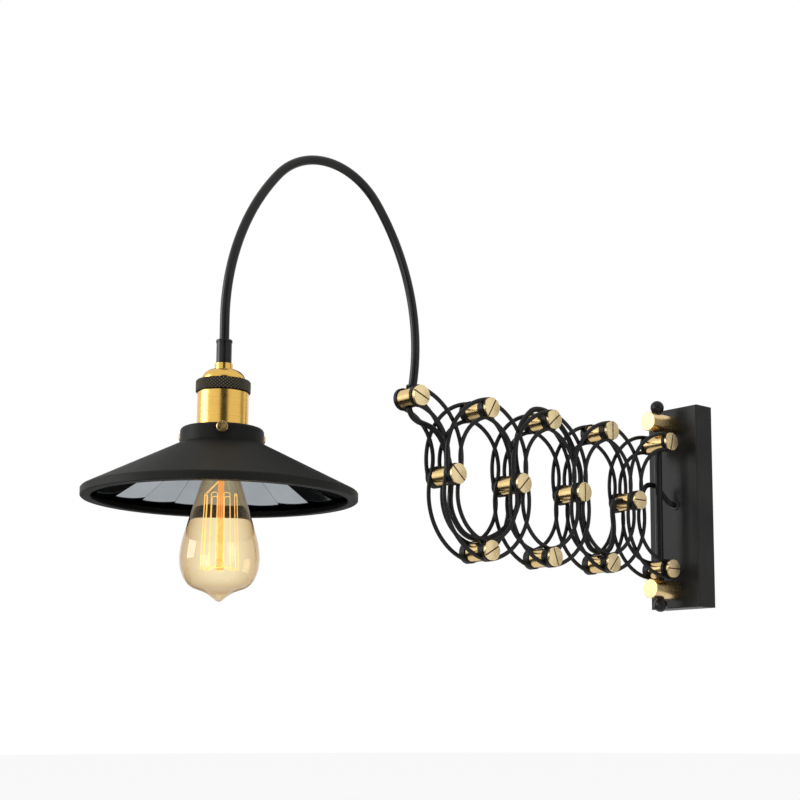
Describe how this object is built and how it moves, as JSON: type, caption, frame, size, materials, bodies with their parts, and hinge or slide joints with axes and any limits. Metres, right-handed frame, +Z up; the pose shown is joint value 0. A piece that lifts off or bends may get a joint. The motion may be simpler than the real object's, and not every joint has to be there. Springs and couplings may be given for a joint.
{
  "type": "accordion wall lamp",
  "caption": "Wall lamp on a lazy-tongs arm of S-shaped rod links with brass barrels, a bent tube and a mirrored cone shade with a bulb.",
  "frame": {"origin": "middle of the wall bracket's back face, on the wall", "axes": "+X out of the wall, +Y along the wall towards the slotted screw heads, +Z up"},
  "size_m": [0.706, 0.2216, 0.3982],
  "materials": {
    "satin_black": "satin black powder coat",
    "black_tube": "satin black enamel",
    "shade_black": "matt black enamel",
    "pale_brass": "turned, satin, lacquered",
    "socket_brass": "antique brass, brushed and lacquered",
    "dark_bronze": "dark bronze, knurled",
    "zinc_steel": "zinc plated",
    "black_rubber": "matt",
    "cord_black": "smooth black sheath",
    "black_moulding": "moulded, heat resistant",
    "white_moulding": "moulded",
    "mirror": "silvered glass",
    "amber_glass": "clear amber tint",
    "clear_glass": "clear",
    "wire": "fine drawn wire"
  },
  "bodies": {
    "root": {"wall_plate": "satin_black", "wall_bracket": "zinc_steel", "plate_screws": "zinc_steel", "posts": "pale_brass", "cord_grommet": "black_rubber", "terminal_block": "white_moulding"},
    "rod": {"guide_rod": "satin_black", "rod_finials": "satin_black", "cord_wall": "cord_black"},
    "lower_slider_body": {"lower_slider": "pale_brass", "lower_pivot_screw": "pale_brass", "lower_cap_screw": "satin_black"},
    "upper_slider_body": {"upper_slider": "pale_brass", "upper_pivot_screw": "pale_brass", "upper_cap_screw": "satin_black"},
    "arm_b4": {"link_b4": "satin_black"},
    "arm_a4": {"link_a4": "satin_black", "barrels_a4": "pale_brass", "pivot_screws_a4": "pale_brass", "cap_screws_a4": "satin_black", "cord_a4": "cord_black"},
    "arm_a3": {"link_a3": "satin_black", "barrels_a3": "pale_brass", "pivot_screws_a3": "pale_brass", "cap_screws_a3": "satin_black"},
    "arm_b3": {"link_b3": "satin_black", "cord_b3": "cord_black"},
    "arm_a2": {"link_a2": "satin_black", "barrels_a2": "pale_brass", "pivot_screws_a2": "pale_brass", "cap_screws_a2": "satin_black", "cord_a2": "cord_black"},
    "arm_b2": {"link_b2": "satin_black"},
    "arm_a1": {"link_a1": "satin_black", "barrels_a1": "pale_brass", "pivot_screws_a1": "pale_brass", "cap_screws_a1": "satin_black"},
    "arm_b1": {"link_b1": "satin_black", "cord_b1": "cord_black"},
    "lamp": {"head_barrel": "pale_brass", "head_pivot_screw": "pale_brass", "head_cap_screw": "satin_black", "gooseneck": "black_tube", "tube_ferrules": "black_tube", "socket_cap": "socket_brass", "knurled_ring": "dark_bronze", "socket_shell": "socket_brass", "socket_insert": "black_moulding", "holder_contacts": "pale_brass", "shade_fitter": "shade_black", "fitter_screws": "pale_brass", "fitter_nut": "zinc_steel", "shade": "shade_black", "mirror_panels": "mirror", "bulb_cap": "pale_brass", "bulb_glass": "amber_glass", "bulb_stem": "clear_glass", "filament": "wire", "cord_head": "cord_black"}
  },
  "joints": [
    {"name": "swivel", "type": "hinge", "parent": "root", "child": "rod", "pos_m": [0.05, 0, 0], "axis": [0, 0, 1], "range_deg": [-80, 80], "deforming": ["cord_wall"]},
    {"name": "lower_slide", "type": "slide", "parent": "rod", "child": "lower_slider_body", "axis": [0, 0, 1], "range_m": [0, 0.02905]},
    {"name": "fold", "type": "hinge", "parent": "lower_slider_body", "child": "arm_b4", "pos_m": [0.05, 0, -0.0685], "axis": [0, 1, 0], "range_deg": [0, 26], "deforming": ["cord_wall", "cord_a4", "cord_b3", "cord_a2", "cord_b1"]},
    {"name": "pivot_m4", "type": "hinge", "parent": "arm_b4", "child": "arm_a4", "pos_m": [0.101, 0, -0.001], "axis": [0, 1, 0], "range_deg": [-52, 0]},
    {"name": "pivot_t4", "type": "hinge", "parent": "arm_a4", "child": "upper_slider_body", "pos_m": [0.05, 0, 0.0665], "axis": [0, 1, 0], "range_deg": [0, 26]},
    {"name": "pivot_t3", "type": "hinge", "parent": "arm_b4", "child": "arm_a3", "pos_m": [0.143, 0, 0.0665], "axis": [0, 1, 0], "range_deg": [-52, 0]},
    {"name": "pivot_m3", "type": "hinge", "parent": "arm_a3", "child": "arm_b3", "pos_m": [0.185, 0, -0.001], "axis": [0, 1, 0], "range_deg": [0, 52]},
    {"name": "pivot_t2", "type": "hinge", "parent": "arm_b3", "child": "arm_a2", "pos_m": [0.227, 0, 0.0665], "axis": [0, 1, 0], "range_deg": [-52, 0]},
    {"name": "pivot_m2", "type": "hinge", "parent": "arm_a2", "child": "arm_b2", "pos_m": [0.269, 0, -0.001], "axis": [0, 1, 0], "range_deg": [0, 52]},
    {"name": "pivot_t1", "type": "hinge", "parent": "arm_b2", "child": "arm_a1", "pos_m": [0.311, 0, 0.0665], "axis": [0, 1, 0], "range_deg": [-52, 0]},
    {"name": "pivot_m1", "type": "hinge", "parent": "arm_a1", "child": "arm_b1", "pos_m": [0.353, 0, -0.001], "axis": [0, 1, 0], "range_deg": [0, 52]},
    {"name": "head_tilt", "type": "hinge", "parent": "arm_b1", "child": "lamp", "pos_m": [0.395, 0, 0.0665], "axis": [0, 1, 0], "range_deg": [-35, 35], "deforming": ["cord_b1"]}
  ],
  "couplings": [
    {"joint": "lower_slide", "follows": "fold", "m_per_rad": 0.064},
    {"joint": "pivot_m4", "follows": "fold", "ratio": -2},
    {"joint": "pivot_t4", "follows": "fold", "ratio": 1},
    {"joint": "pivot_t3", "follows": "fold", "ratio": -2},
    {"joint": "pivot_m3", "follows": "fold", "ratio": 2},
    {"joint": "pivot_t2", "follows": "fold", "ratio": -2},
    {"joint": "pivot_m2", "follows": "fold", "ratio": 2},
    {"joint": "pivot_t1", "follows": "fold", "ratio": -2},
    {"joint": "pivot_m1", "follows": "fold", "ratio": 2}
  ]
}
